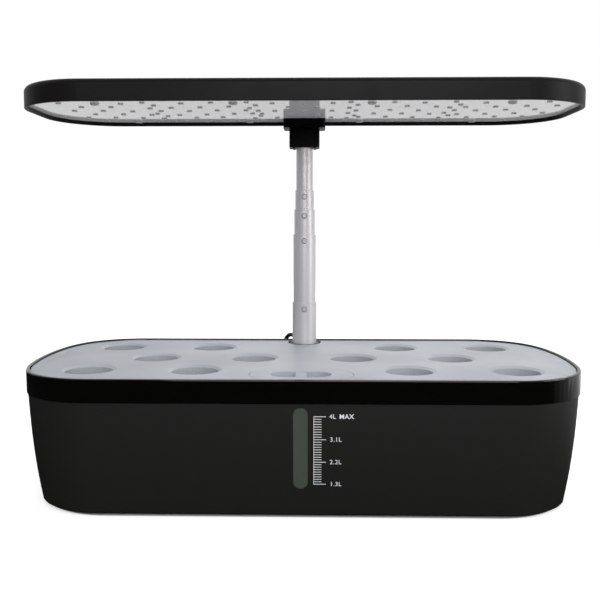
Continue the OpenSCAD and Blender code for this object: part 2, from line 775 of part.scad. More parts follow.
// The pump's lead runs along the rear of the tank to the gland on the pole's well
pump_lead_r = 1.6;
lead_up = chamber_z + 5;
rear = pump_y + pump_d / 2;
gland_end = well_r + gland_len;
pump_route = [
    [pump_x, rear, lead_up], [pump_x, rear + 4, lead_up], [pump_x - 1, rear + 10, lead_up + 3],
    [pump_x - 4, rear + 18, lead_up + 12], [pump_x - 9, rear + 27, lead_up + 25],
    [pump_x - 18, rear + 34, lead_up + 36], [pump_x - 30, pole_y - 2, gland_z - 4],
    [pump_x - 44, pole_y, gland_z - 1], [pump_x - 56, pole_y, gland_z],
    [gland_end + 14, pole_y, gland_z], [gland_end + 4, pole_y, gland_z], [gland_end, pole_y, gland_z]
];
module pump_lead() color(black) tube_along(pump_route, pump_lead_r, 8, [0, 0, 1]);

// ---------- Supply lead ----------

module strain_relief() color(black) at_outlet(boss_out)
    cylinder(h = relief_len, r1 = relief_r, r2 = relief_tip_r);

module lead_run() color(black) tube_along(lead_route, lead_r, 8, [0, 0, 1]);

module lead_coil() color(black) tube_along(coil_path, lead_r, 6, [0, 0, 1]);

// The tie goes once round the bundle of turns, on the coil's far side
module coil_tie() color([0.15, 0.15, 0.15]) {
    in_r = coil_out_r - layer_turns * coil_pitch - lead_r - tie_gap;
    bundle_d = coil_out_r + lead_r + tie_gap - in_r;
    bundle_h = (coil_layers - 1) * coil_pitch + 2 * (lead_r + tie_gap);
    translate([coil_x - tie_w / 2, coil_y + in_r, coil_z - lead_r - tie_gap]) rotate([90, 0, 90])
        linear_extrude(tie_w) difference() {
            translate([-tie_t, -tie_t]) square([bundle_d + 2 * tie_t, bundle_h + 2 * tie_t]);
            square([bundle_d, bundle_h]);
        }
}

module power_adapter() color(black) {
    translate([adapter_x + adapter_w / 2, adapter_y, 0]) difference() {
        plate(adapter_w, adapter_d, adapter_corner, adapter_h);
        // Parting line between the two halves of the housing
        translate([0, 0, adapter_h * 0.62]) difference() {
            plate(adapter_w + 2, adapter_d + 2, adapter_corner, adapter_groove);
            translate([0, 0, -1]) plate(adapter_w - 2 * adapter_groove, adapter_d - 2 * adapter_groove,
                adapter_corner - adapter_groove, adapter_groove + 2);
        }
    }
    translate([coil_exit[0] - plug_relief, adapter_y, coil_exit[2]]) rotate([0, 90, 0])
        cylinder(h = plug_relief, r1 = plug_relief_r, r2 = relief_tip_r);
}

module adapter_prongs() color(metal) for (z = [-1, 1])
    translate([adapter_x + prong_inset, adapter_y + adapter_d / 2, (adapter_h + z * prong_gap - prong_t) / 2])
        cube([prong_w, prong_len, prong_t]);

tank();
rim_band();
water_window();
feet();
pole_bush();
tube_5();
pump_body();
pump_cover();
pump_nozzle();
impeller_shaft();
impeller();
suction_cups();
pump_lead();
deck();
fill_lid();
tube_4();
glide_4();
tube_3();
glide_3();
tube_2();
glide_2();
tube_1();
glide_1();
lamp_socket();
lamp_housing();
led_board();
white_leds();
red_leds();
lamp_screws();
control_board();
tact_switches();
light_button();
mode_button();
lamp_lead();
strain_relief();
lead_run();
lead_coil();
coil_tie();
power_adapter();
adapter_prongs();
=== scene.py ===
"""Countertop hydroponic garden: the looks of its pieces, its supply lead, and a studio to show it in."""

import math

import bmesh
import bpy
from bpy.props import FloatProperty, FloatVectorProperty, IntProperty, PointerProperty
from mathutils import Matrix, Vector


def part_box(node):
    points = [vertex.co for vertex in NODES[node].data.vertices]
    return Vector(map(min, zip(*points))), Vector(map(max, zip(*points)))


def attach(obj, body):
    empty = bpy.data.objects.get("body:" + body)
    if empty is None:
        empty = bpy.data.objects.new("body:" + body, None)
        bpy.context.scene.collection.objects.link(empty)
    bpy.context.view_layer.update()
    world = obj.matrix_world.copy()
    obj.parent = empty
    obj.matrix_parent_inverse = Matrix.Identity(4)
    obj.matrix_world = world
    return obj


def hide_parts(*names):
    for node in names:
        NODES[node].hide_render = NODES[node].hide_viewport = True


bl_info = {
    "name": "Countertop hydroponic garden",
    "version": (1, 0, 0),
    "blender": (4, 5, 0),
    "location": "3D View > Sidebar > Garden",
    "description": "Dresses the garden's pieces and sets up its lead and its studio",
    "category": "Object",
}

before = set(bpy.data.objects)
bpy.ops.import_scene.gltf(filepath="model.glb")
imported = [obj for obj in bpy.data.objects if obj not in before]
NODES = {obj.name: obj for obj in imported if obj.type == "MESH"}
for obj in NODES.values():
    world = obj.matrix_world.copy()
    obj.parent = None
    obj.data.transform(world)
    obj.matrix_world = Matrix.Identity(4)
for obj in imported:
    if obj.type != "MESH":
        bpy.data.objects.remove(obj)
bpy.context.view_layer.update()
BAND_LOW, BAND_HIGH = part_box("rim_band")

# The tank's side profile is an arc that starts at the trim band's top edge, a little inside the band's face.
# Its outer faces are those whose normals point this far down.
PROFILE_RADIUS = 0.430
BAND_OVERHANG = 0.0006
WALL_NORMALS = (-0.25, -0.03)

# How far the ends of the tank, its band and its deck stand out of a straight line, at distances in Y from the
# middle. The bow sets in between two distances in X, and the copies are cut every few millimetres to take it.
BOW = ((0, 0.0021), (0.010, 0.0020), (0.020, 0.0014), (0.030, 0.0003), (0.040, -0.0009), (0.050, -0.0015),
       (0.060, -0.0012), (0.070, -0.0004), (0.080, 0), (1, 0))
BOW_FROM, BOW_TO = 0.172, 0.182
BOW_CUT_PITCH = 0.005
BOW_CUTS_EACH_WAY = 16

# The tank's ends draw in less than its sides: below this height they stand out of the arc, at the foot by this much
FLARE_TOP = 0.069
FLARE = 0.0023
FLARE_POWER = 1.3

# The deck's border lies this far below its field, and the real one, which is softer, higher by the second amount
BORDER_DROP = 0.0008
BORDER_LIFT = 0.0006

# Painted shade in the gap under the tank's foot, where the floor's glow is left out: its half sizes, the radius of
# its corners and its soft edge
FOOT_HALF = (0.1865, 0.0800)
FOOT_CORNER = 0.054
FOOT_EDGE = 0.0015

# Scales of the finishes' noises, per metre, and the depths of their reliefs, in metres
TONE_SCALE, DUST_SCALE = 14, 260
GRAIN_DEPTH = 0.00004
SCRATCH_STRETCH = (9, 60, 400)
SMEAR_SCALE, WAVE_SCALE = 30, 22
WAVE_DEPTH = 0.0004
RING_STRETCH = (20, 20, 2600)
RING_TONE = (0.25, 0.25, 0.25, 1)
RING_RELIEF = 0.00002
MARK_SCALE = 70

# Towards the room's pale side, behind and to the right of the garden
PALE_SIDE = (0.6, 0.8, 0)
FLOOR_HALF = 6
FLOOR_DOWN = 0.0002

# Vertices nearer to each other than MERGE are one, and within LEVEL they lie at one height
MERGE = 1e-6
LEVEL = 0.0001

# The supply lead's free stretch, in metres, as the solids have it
LEAD_ROUTE = [
    (-0.0098, 0.0955, 0.0986), (-0.0118, 0.0991, 0.0986), (-0.0142, 0.1034, 0.0977), (-0.0164, 0.1073, 0.095),
    (-0.018, 0.1101, 0.091), (-0.0188, 0.1117, 0.0862), (-0.019, 0.112, 0.081), (-0.019, 0.112, 0.072),
    (-0.019, 0.112, 0.063), (-0.019, 0.112, 0.054), (-0.019, 0.112, 0.045), (-0.019, 0.112, 0.036),
    (-0.019, 0.112, 0.027), (-0.019, 0.112, 0.018), (-0.0202, 0.112, 0.0123), (-0.0234, 0.112, 0.0073),
    (-0.0282, 0.112, 0.004), (-0.034, 0.112, 0.0026), (-0.039, 0.112, 0.0026), (-0.044, 0.112, 0.0026),
]
ROUTE_STEPS = 4
COIL_LAYERS = 4
LAYER_TURNS = 2.5
COIL_MEAN_RADIUS = 0.020
COIL_GAP = 0.00045
COIL_STEPS = 48
# A layer climbs to the next within this part of a turn before and after the spiral's end
CLIMB_TURN = 0.25

# The strain relief's length, its radii at the foot and the tip, its rings and how deep they are pressed in
RELIEF_LENGTH = 0.008
RELIEF_FOOT, RELIEF_TIP = 0.0024, 0.0020
RELIEF_RINGS = 4
RELIEF_SIDES = 24
RING_DEPTH = 0.00035

TIE_THICKNESS = 0.0007
TIE_CORNER = 0.0009

# The level scale's ink: half a mark's thickness, how deep and how proud its solids reach, and how far they are
# raised off the face
LINE_HALF = 0.00020
INK_DEEP = 0.00002
INK_PROUD = 0.00004
INK_RAISED = 0.00008
UPRIGHT_SHARE = 0.75
UPRIGHT_PIECES = 24
LABEL_GAP = 0.0021
CAPITAL_SHARE = 0.7

# How far below its tube's top each dimple of the pole lies, and what covers it: rings as shares of the detent's
# radius, with how far they stand out of the tube
DIMPLE_DOWN = 0.0055
# The first profile makes a dark disc under each button, whose rim round the button is painted shade for the gap there
GAP_SHADE_PROFILE = ((1.15, -0.0001), (1.15, 0.00001), (0.6, 0.000015))
BUTTON_PROFILE = ((0.92, -0.0001), (0.90, 0.000025), (0.80, 0.00003), (0.4, 0.000034))
DETENT_STEPS = 32

# A chip's package: its bevel, then the width and the depth of its rim, then the width and the rise of its lens
CHIP_BEVEL = 0.00022
CHIP_RIM, CHIP_SUNK = 0.00035, 0.00012
LENS_EDGE, LENS_RISE = 0.0004, 0.00008


# ---------- Values that a user would change ----------

def colour(name, description, default):
    return FloatVectorProperty(name=name, description=description, subtype="COLOR", size=3, min=0, max=1,
                               default=default)


class GardenFinish(bpy.types.PropertyGroup):
    shell: colour("Shell", "Colour of the matt black mouldings", (0.0105, 0.0118, 0.0098))
    band: colour("Trim band", "Colour of the glossy trim band", (0.0012, 0.0013, 0.0010))
    lamp: colour("Lamp", "Colour of the lamp's housing", (0.0066, 0.0056, 0.0056))
    deck: colour("Deck", "Colour of the planting deck and its fill lid", (0.445, 0.462, 0.505))
    window: colour("Window", "Colour of the smoked water window", (0.055, 0.062, 0.052))
    pole: colour("Pole", "Colour of the pole's metal", (0.64, 0.625, 0.632))
    board: colour("Light board", "Colour of the glossy light board", (0.62, 0.62, 0.625))
    white_chip: colour("White chips", "Phosphor of the white chips", (0.42, 0.40, 0.26))
    red_chip: colour("Red chips", "Die of the red chips", (0.16, 0.07, 0.07))
    print_ink: colour("Print", "Ink of the level scale", (0.74, 0.75, 0.78))
    sheath: colour("Lead", "Sheath of the leads", (0.004, 0.004, 0.004))


class GardenSizes(bpy.types.PropertyGroup):
    lead_diameter: FloatProperty(name="Lead diameter", description="Diameter of the supply lead",
                                 default=0.0036, min=0.0032, max=0.0038, unit="LENGTH")
    scale_left: FloatProperty(name="Scale position", description="Distance of the level scale right of the middle",
                              default=0.0087, unit="LENGTH")
    scale_low: FloatProperty(name="Scale foot", description="Height of the lowest level mark",
                             default=0.0248, unit="LENGTH")
    scale_high: FloatProperty(name="Scale top", description="Height of the highest level mark",
                              default=0.0717, unit="LENGTH")
    scale_steps: IntProperty(name="Scale steps", description="Divisions between the lowest and the highest mark",
                             default=27, min=9)
    short_mark: FloatProperty(name="Short mark", description="Length of a short level mark", default=0.0051,
                              unit="LENGTH")
    long_mark: FloatProperty(name="Long mark", description="Length of a long level mark", default=0.0080,
                             unit="LENGTH")
    letter_height: FloatProperty(name="Letter height", description="Height of the scale's letters",
                                 default=0.0030, unit="LENGTH")
    max_shift: FloatProperty(name="MAX position", description="Distance of the word MAX right of its number",
                             default=0.0065, unit="LENGTH")
    detent_radius: FloatProperty(name="Detent", description="Radius of the detent buttons on the pole",
                                 default=0.0021, unit="LENGTH")


class GardenCamera(bpy.types.PropertyGroup):
    lens: FloatProperty(name="Lens", description="Focal length on a 36 mm sensor", default=46.8,
                        subtype="DISTANCE_CAMERA")
    place: FloatVectorProperty(name="Place", description="Where the camera stands", subtype="TRANSLATION",
                               default=(0.0103, -0.5902, 0.1961), precision=4)
    down: FloatProperty(name="Down", description="How far the camera looks down", subtype="ANGLE", default=0.0961)
    left: FloatProperty(name="Left", description="How far the camera is turned to the left", subtype="ANGLE",
                        default=0.0212)


def finish_of():
    return bpy.context.scene.garden_finish


def sizes_of():
    return bpy.context.scene.garden_sizes


# ---------- Node groups that materials share ----------

def new_group(name, inputs, outputs):
    """An empty shader node group with its sockets.

    Each input is (name, kind, default) and each output (name, kind)."""
    group = bpy.data.node_groups.new(name, "ShaderNodeTree")
    for label, kind, value in inputs:
        socket = group.interface.new_socket(label, in_out="INPUT", socket_type=kind)
        if value is not None:
            socket.default_value = value
    for label, kind in outputs:
        group.interface.new_socket(label, in_out="OUTPUT", socket_type=kind)
    return group, group.nodes.new("NodeGroupInput"), group.nodes.new("NodeGroupOutput")


def feed(tree, value, target):
    """Feeds an input socket from another socket, or sets it to a value."""
    if isinstance(value, bpy.types.NodeSocket):
        tree.links.new(value, target)
    else:
        target.default_value = value


def add_coordinates(tree, label):
    return tree.nodes.new("ShaderNodeTexCoord").outputs[label]


def add_stretch(tree, vector, scale):
    node = tree.nodes.new("ShaderNodeMapping")
    node.inputs["Scale"].default_value = scale
    tree.links.new(vector, node.inputs["Vector"])
    return node.outputs["Vector"]


def add_noise(tree, vector, scale, detail, roughness=0.5):
    node = tree.nodes.new("ShaderNodeTexNoise")
    tree.links.new(vector, node.inputs["Vector"])
    for label, value in (("Scale", scale), ("Detail", detail), ("Roughness", roughness)):
        feed(tree, value, node.inputs[label])
    return node.outputs["Fac"]


def add_math(tree, operation, *values):
    node = tree.nodes.new("ShaderNodeMath")
    node.operation = operation
    for value, target in zip(values, node.inputs):
        feed(tree, value, target)
    return node.outputs[0]


def add_vector_math(tree, operation, *values, output="Vector"):
    node = tree.nodes.new("ShaderNodeVectorMath")
    node.operation = operation
    for value, target in zip(values, node.inputs):
        feed(tree, value, target)
    return node.outputs[output]


def add_range(tree, value, low, high, to_low, to_high):
    """Maps value from low..high to to_low..to_high; each limit is a number or a socket."""
    node = tree.nodes.new("ShaderNodeMapRange")
    tree.links.new(value, node.inputs["Value"])
    for label, limit in (("From Min", low), ("From Max", high), ("To Min", to_low), ("To Max", to_high)):
        feed(tree, limit, node.inputs[label])
    return node.outputs["Result"]


def add_mix(tree, factor, first, second):
    """Mixes two colours, each a socket or a colour."""
    node = tree.nodes.new("ShaderNodeMix")
    node.data_type = "RGBA"
    for label, value in ((0, factor), (6, first), (7, second)):
        feed(tree, value, node.inputs[label])
    return node.outputs[2]


def add_bump(tree, strength, height, distance):
    node = tree.nodes.new("ShaderNodeBump")
    node.inputs["Distance"].default_value = distance
    tree.links.new(strength, node.inputs["Strength"])
    tree.links.new(height, node.inputs["Height"])
    return node.outputs["Normal"]


def mix_shaders(tree, factor, first, second):
    """Mixes two shaders; either may be None, which gives no light."""
    node = tree.nodes.new("ShaderNodeMixShader")
    for value, target in zip((factor, first, second), node.inputs):
        if value is not None:
            tree.links.new(value, target)
    return node.outputs[0]


def toward_pale_side(tree, coordinates):
    """How far a place, or a direction, lies towards the room's pale side."""
    return add_vector_math(tree, "DOT_PRODUCT", add_coordinates(tree, coordinates), PALE_SIDE, output="Value")


def moulded_group():
    """Moulded plastic: a fine sprayed grain, slow changes of tone, and dust that settles on what faces up."""
    group, start, end = new_group("moulded_plastic", [
        ("Color", "NodeSocketColor", (0.5, 0.5, 0.5, 1)),
        ("Dust Color", "NodeSocketColor", (0.5, 0.5, 0.5, 1)),
        ("Dust", "NodeSocketFloat", 0.1),
        ("Grain Scale", "NodeSocketFloat", 3000),
        ("Grain", "NodeSocketFloat", 0.1),
        ("Low Roughness", "NodeSocketFloat", 0.4),
        ("High Roughness", "NodeSocketFloat", 0.5),
    ], [("Color", "NodeSocketColor"), ("Roughness", "NodeSocketFloat"), ("Normal", "NodeSocketVector")])
    place = add_coordinates(group, "Object")
    slow = add_noise(group, place, TONE_SCALE, 4)
    fine = add_noise(group, place, start.outputs["Grain Scale"], 2, 0.6)
    facing = group.nodes.new("ShaderNodeSeparateXYZ")
    group.links.new(group.nodes.new("ShaderNodeNewGeometry").outputs["Normal"], facing.inputs[0])
    up = add_range(group, facing.outputs["Z"], 0.3, 1, 0, start.outputs["Dust"])
    specks = add_range(group, add_noise(group, place, DUST_SCALE, 6, 0.7), 0.45, 0.75, 0.2, 1)
    tone = add_mix(group, add_range(group, slow, 0.3, 0.7, 0, 0.16), start.outputs["Color"], (0, 0, 0, 1))
    dusty = add_mix(group, add_math(group, "MULTIPLY", up, specks), tone, start.outputs["Dust Color"])
    rough = add_range(group, slow, 0.3, 0.7, start.outputs["Low Roughness"], start.outputs["High Roughness"])
    group.links.new(dusty, end.inputs["Color"])
    group.links.new(rough, end.inputs["Roughness"])
    group.links.new(add_bump(group, start.outputs["Grain"], fine, GRAIN_DEPTH), end.inputs["Normal"])
    return group


def polished_group():
    """A polished face: it is all but smooth, with faint smears and hair-fine scratches."""
    group, start, end = new_group("polished_face", [
        ("Smear", "NodeSocketFloat", 0.06),
        ("Base Roughness", "NodeSocketFloat", 0.05),
        ("Wave", "NodeSocketFloat", 0.05),
    ], [("Roughness", "NodeSocketFloat"), ("Normal", "NodeSocketVector")])
    place = add_coordinates(group, "Object")
    scratches = add_range(group, add_noise(group, add_stretch(group, place, SCRATCH_STRETCH), 4, 4, 0.7),
                          0.62, 0.8, 0, 1)
    smears = add_range(group, add_noise(group, place, SMEAR_SCALE, 5, 0.6), 0.4, 0.75, 0, 1)
    marks = add_math(group, "ADD", scratches, smears)
    rough = add_math(group, "MULTIPLY_ADD", marks, start.outputs["Smear"], start.outputs["Base Roughness"])
    wave = add_noise(group, place, WAVE_SCALE, 1)
    group.links.new(rough, end.inputs["Roughness"])
    group.links.new(add_bump(group, start.outputs["Wave"], wave, WAVE_DEPTH), end.inputs["Normal"])
    return group


def satin_metal_group():
    """Metal that is brushed round its axis: fine rings of tone and roughness, and a few handling marks."""
    group, start, end = new_group("satin_metal", [
        ("Color", "NodeSocketColor", (0.6, 0.6, 0.6, 1)),
        ("Base Roughness", "NodeSocketFloat", 0.3),
        ("Rings", "NodeSocketFloat", 0.1),
        ("Marks", "NodeSocketFloat", 0.03),
    ], [("Color", "NodeSocketColor"), ("Roughness", "NodeSocketFloat"), ("Normal", "NodeSocketVector")])
    place = add_coordinates(group, "Object")
    rings = add_noise(group, add_stretch(group, place, RING_STRETCH), 1, 5, 0.7)
    marks = add_range(group, add_noise(group, place, MARK_SCALE, 5, 0.65), 0.35, 0.7, 0, start.outputs["Marks"])
    tone = add_mix(group, add_range(group, rings, 0.3, 0.7, 0, 0.06), start.outputs["Color"], RING_TONE)
    group.links.new(tone, end.inputs["Color"])
    group.links.new(add_math(group, "ADD", start.outputs["Base Roughness"], marks), end.inputs["Roughness"])
    group.links.new(add_bump(group, start.outputs["Rings"], rings, RING_RELIEF), end.inputs["Normal"])
    return group


# ---------- Materials ----------

def node_of(material, kind):
    return next(n for n in material.node_tree.nodes if n.type == kind)


def new_material(name, builder=None, values=(), shader_values=()):
    """A material whose Principled shader takes every output of a shared group that has its name."""
    material = bpy.data.materials.new(name)
    material.use_nodes = True
    shader = node_of(material, "BSDF_PRINCIPLED")
    for label, value in shader_values:
        shader.inputs[label].default_value = value
    if builder is not None:
        group = material.node_tree.nodes.new("ShaderNodeGroup")
        group.node_tree = shared_group(builder)
        for label, value in values:
            group.inputs[label].default_value = value
        for output in group.outputs:
            target = "Base Color" if output.name == "Color" else output.name
            material.node_tree.links.new(output, shader.inputs[target])
    return material


GROUPS = {}


def shared_group(builder):
    name = builder.__name__
    if name not in GROUPS:
        GROUPS[name] = builder()
    return GROUPS[name]


def rgba(value):
    return (*value, 1)


def moulded(name, tint, rough, dust=0.0, grain=0.5, grain_scale=2600, specular=0.5):
    """Moulded plastic or rubber; rough holds its lowest and its highest roughness."""
    dusty = tuple(min(1, 0.5 * c + 0.25) for c in tint)
    return new_material(name, moulded_group, [
        ("Color", rgba(tint)), ("Dust Color", rgba(dusty)), ("Dust", dust), ("Grain Scale", grain_scale),
        ("Grain", grain), ("Low Roughness", rough[0]), ("High Roughness", rough[1]),
    ], [("Specular IOR Level", specular)])


def polished(name, tint, base, smear, wave=0.0, coat=0.0):
    """A glossy face of one colour: its roughness, how much smears add to it, and how wavy it is."""
    return new_material(name, polished_group, [("Smear", smear), ("Base Roughness", base), ("Wave", wave)], [
        ("Base Color", rgba(tint)), ("Coat Weight", coat), ("Coat Roughness", 0.03)])


def satin_metal(name, tint, base, rings, marks=0.03, metallic=1.0):
    """Metal of one tint: its roughness, the relief of its rings and how much handling marks add to the roughness."""
    return new_material(name, satin_metal_group, [
        ("Color", rgba(tint)), ("Base Roughness", base), ("Rings", rings), ("Marks", marks),
    ], [("Metallic", metallic)])


def paint(name, material):
    """Gives a node of the frame, or a new piece, one material."""
    obj = NODES[name] if isinstance(name, str) else name
    obj.data.materials.clear()
    obj.data.materials.append(material)
    for polygon in obj.data.polygons:
        polygon.material_index = 0


# ---------- Meshes ----------

def piece_from(bm, name, material, body, smooth=True):
    """Makes a bmesh an object that rides on a body."""
    bmesh.ops.recalc_face_normals(bm, faces=bm.faces)
    mesh = bpy.data.meshes.new(name)
    bm.to_mesh(mesh)
    bm.free()
    for polygon in mesh.polygons:
        polygon.use_smooth = smooth
    obj = bpy.data.objects.new(name, mesh)
    bpy.context.scene.collection.objects.link(obj)
    mesh.materials.append(material)
    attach(obj, body)
    return obj


def add_block(bm, low, high, bevel=0.0):
    """Adds a block between two corners, with its edges bevelled."""
    low, high = Vector(low), Vector(high)
    size = high - low
    place = Matrix.Translation((low + high) / 2) @ Matrix.Diagonal((*size, 1))
    made = bmesh.ops.create_cube(bm, size=1, matrix=place)
    if bevel:
        edges = {e for v in made["verts"] for e in v.link_edges}
        bmesh.ops.bevel(bm, geom=list(edges), offset=bevel, segments=1, profile=0.5, affect="EDGES", material=-1)


def add_spun(bm, profile, centre, axis, steps):
    """Spins a profile of (distance from the axis, distance along it) round an axis, with its ends closed."""
    axis = Vector(axis).normalized()
    side = axis.orthogonal().normalized()
    made = [bm.verts.new(Vector(centre) + side * r + axis * h) for r, h in profile]
    edges = [bm.edges.new(pair) for pair in zip(made, made[1:])]
    bmesh.ops.spin(bm, geom=made + edges, cent=centre, axis=axis, angle=math.tau, steps=steps, use_merge=True)


def islands_of(obj):
    """The boxes (low, high) of an object's separate solids."""
    bm = bmesh.new()
    bm.from_mesh(obj.data)
    bmesh.ops.remove_doubles(bm, verts=bm.verts, dist=MERGE)
    seen, boxes = set(), []
    for first in bm.verts:
        if first in seen:
            continue
        stack, found = [first], []
        seen.add(first)
        while stack:
            vert = stack.pop()
            found.append(vert.co.copy())
            for edge in vert.link_edges:
                other = edge.other_vert(vert)
                if other not in seen:
                    seen.add(other)
                    stack.append(other)
        boxes.append((Vector(min(c[k] for c in found) for k in range(3)),
                      Vector(max(c[k] for c in found) for k in range(3))))
    bm.free()
    return boxes


def bow_at(y):
    """The bow at a distance in Y, read smoothly from its table."""
    y = abs(y)
    (low, first), (high, last) = next(pair for pair in zip(BOW, BOW[1:]) if y <= pair[1][0])
    share = (y - low) / (high - low)
    return first + (last - first) * share * share * (3 - 2 * share)


def flare_at(z):
    """How far the tank's ends stand out of their arc at a height, because they draw in less than its sides."""
    return FLARE * max(0, (FLARE_TOP - z) / FLARE_TOP) ** FLARE_POWER


def follow_arc(mesh):
    """Gives the tank's outer wall the normals of its arc, which the solid follows in flat steps."""
    normals = [corner.vector.copy() for corner in mesh.corner_normals]
    for polygon in mesh.polygons:
        if polygon.normal.xy.dot(polygon.center.xy) > 0 and WALL_NORMALS[0] < polygon.normal.z < WALL_NORMALS[1]:
            for corner in polygon.loop_indices:
                lean = (BAND_HIGH.z - mesh.vertices[mesh.loops[corner].vertex_index].co.z) / PROFILE_RADIUS
                level = normals[corner].xy.normalized() * math.sqrt(1 - lean * lean)
                normals[corner] = Vector((*level, -lean))
    mesh.normals_split_custom_set(normals)


def bowed(node, name, body, sharp=25, lift_at=0, lift=0):
    """A copy of a node whose ends are bowed in plan, and flared at the foot, as the real mouldings' are.

    It stands for the node. Edges that turn by more than sharp degrees stay sharp, and what lies at the height
    lift_at is lifted."""
    source = NODES[node]
    bm = bmesh.new()
    bm.from_mesh(source.data)
    bmesh.ops.remove_doubles(bm, verts=bm.verts, dist=MERGE)
    for k in range(-BOW_CUTS_EACH_WAY, BOW_CUTS_EACH_WAY + 1):
        ends = [f for f in bm.faces if max(abs(v.co.x) for v in f.verts) > BOW_FROM]
        geometry = {*ends, *(e for f in ends for e in f.edges), *(v for f in ends for v in f.verts)}
        bmesh.ops.bisect_plane(bm, geom=list(geometry), dist=MERGE, plane_co=(0, k * BOW_CUT_PITCH, 0),
                               plane_no=(0, 1, 0))
    for vert in bm.verts:
        share = min(1, max(0, (abs(vert.co.x) - BOW_FROM) / (BOW_TO - BOW_FROM)))
        vert.co.x += math.copysign(share, vert.co.x) * (bow_at(vert.co.y) + flare_at(vert.co.z))
        if abs(vert.co.z - lift_at) < LEVEL:
            vert.co.z += lift
    mesh = bpy.data.meshes.new(name)
    bm.to_mesh(mesh)
    bm.free()
    mesh.polygons.foreach_set("use_smooth", [True] * len(mesh.polygons))
    mesh.set_sharp_from_angle(angle=math.radians(sharp))
    piece = bpy.data.objects.new(name, mesh)
    bpy.context.scene.collection.objects.link(piece)
    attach(piece, body)
    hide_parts(node)
    return piece


# ---------- Operators ----------

class GARDEN_OT_studio(bpy.types.Operator):
    """Set up the camera, the soft lights and the pale floor"""
    bl_idname = "garden.studio"
    bl_label = "Studio"

    def execute(self, context):
        self.camera(context)
        self.lights()
        self.floor()
        context.scene.view_settings.view_transform = "Standard"
        return {"FINISHED"}

    def camera(self, context):
        values = context.scene.garden_camera
        data = bpy.data.cameras.new("camera")
        data.lens = values.lens
        data.sensor_width = 36
        camera = bpy.data.objects.new("camera", data)
        camera.location = values.place
        camera.rotation_euler = (math.pi / 2 - values.down, 0, values.left)
        context.scene.collection.objects.link(camera)
        context.scene.camera = camera

    def lights(self):
        world = bpy.data.worlds.new("studio")
        world.use_nodes = True
        bpy.context.scene.world = world
        tree = world.node_tree
        rays = tree.nodes.new("ShaderNodeLightPath")
        light = tree.nodes["Background"]
        light.inputs["Color"].default_value = (0.66, 0.66, 0.67, 1)
        # In reflections the room is dim in front and on the left, and pale behind and on the right
        room = tree.nodes.new("ShaderNodeBackground")
        room.inputs["Color"].default_value = (1, 1, 1, 1)
        tree.links.new(add_range(tree, toward_pale_side(tree, "Generated"), -0.75, 0.35, 0.16, 0.72),
                       room.inputs["Strength"])
        white = tree.nodes.new("ShaderNodeBackground")
        white.inputs["Color"].default_value = (1, 1, 1, 1)
        lit = mix_shaders(tree, rays.outputs["Is Glossy Ray"], light.outputs[0], room.outputs[0])
        seen = add_math(tree, "MAXIMUM", rays.outputs["Is Camera Ray"], rays.outputs["Is Transmission Ray"])
        tree.links.new(mix_shaders(tree, seen, lit, white.outputs[0]), tree.nodes["World Output"].inputs["Surface"])
        # Each soft light: its name, its place, what it points at, its size and its power
        for name, place, aim, size, power in (
            ("key", (0.1, -1.7, 0.9), (0, 0, 0.12), 1.2, 15),
            ("fill", (1.5, -0.6, 0.6), (0, 0, 0.15), 1.0, 8),
            ("back", (0.2, 1.5, 1.2), (0, 0, 0.15), 1.4, 8),
        ):
            data = bpy.data.lights.new(name, "AREA")
            data.size = size
            data.energy = power
            lamp = bpy.data.objects.new(name, data)
            lamp.location = place
            lamp.rotation_euler = (Vector(aim) - Vector(place)).to_track_quat("-Z", "Y").to_euler()
            bpy.context.scene.collection.objects.link(lamp)

    def floor(self):
        bm = bmesh.new()
        bmesh.ops.create_grid(bm, x_segments=1, y_segments=1, size=FLOOR_HALF)
        bmesh.ops.translate(bm, verts=bm.verts, vec=(0, 0, -FLOOR_DOWN))
        mesh = bpy.data.meshes.new("floor")
        bm.to_mesh(mesh)
        bm.free()
        floor = bpy.data.objects.new("floor", mesh)
        bpy.context.scene.collection.objects.link(floor)
        mesh.materials.append(self.floor_white())

    def floor_white(self):
        """Matt white that glows to the camera; in reflections, dark in front and pale behind and to the right."""
        material = new_material("floor_white", shader_values=[
            ("Base Color", (0.86, 0.86, 0.86, 1)), ("Roughness", 0.9), ("Specular IOR Level", 0.1)])
        tree = material.node_tree
        rays = tree.nodes.new("ShaderNodeLightPath")
        glow = tree.nodes.new("ShaderNodeEmission")
        # The glow is left out under the tank's foot: painted shade for the gap there
        tree.links.new(self.glow_outside_foot_shade(tree, 0.5), glow.inputs["Strength"])
        sweep = tree.nodes.new("ShaderNodeEmission")
        tree.links.new(add_range(tree, toward_pale_side(tree, "Object"), 0.1, 0.7, 0.012, 0.8),
                       sweep.inputs["Strength"])
        plain = tree.nodes.new("ShaderNodeAddShader")
        tree.links.new(node_of(material, "BSDF_PRINCIPLED").outputs[0], plain.inputs[0])
        tree.links.new(mix_shaders(tree, rays.outputs["Is Camera Ray"], None, glow.outputs[0]), plain.inputs[1])
        tree.links.new(mix_shaders(tree, rays.outputs["Is Glossy Ray"], plain.outputs[0], sweep.outputs[0]),
                       node_of(material, "OUTPUT_MATERIAL").inputs["Surface"])
        return material

    def glow_outside_foot_shade(self, tree, strength):
        """The glow's strength on the floor round the tank, and none in the gap under its foot, which paints its
        shade.
        """
        inner = (*(half - FOOT_CORNER for half in FOOT_HALF), 0)
        away = add_vector_math(tree, "ABSOLUTE", add_coordinates(tree, "Object"))
        for operation, other in (("SUBTRACT", inner), ("MAXIMUM", (0, 0, 0)), ("MULTIPLY", (1, 1, 0))):
            away = add_vector_math(tree, operation, away, other)
        return add_range(tree, add_vector_math(tree, "LENGTH", away, output="Value"),
                         FOOT_CORNER, FOOT_CORNER + FOOT_EDGE, 0, strength)


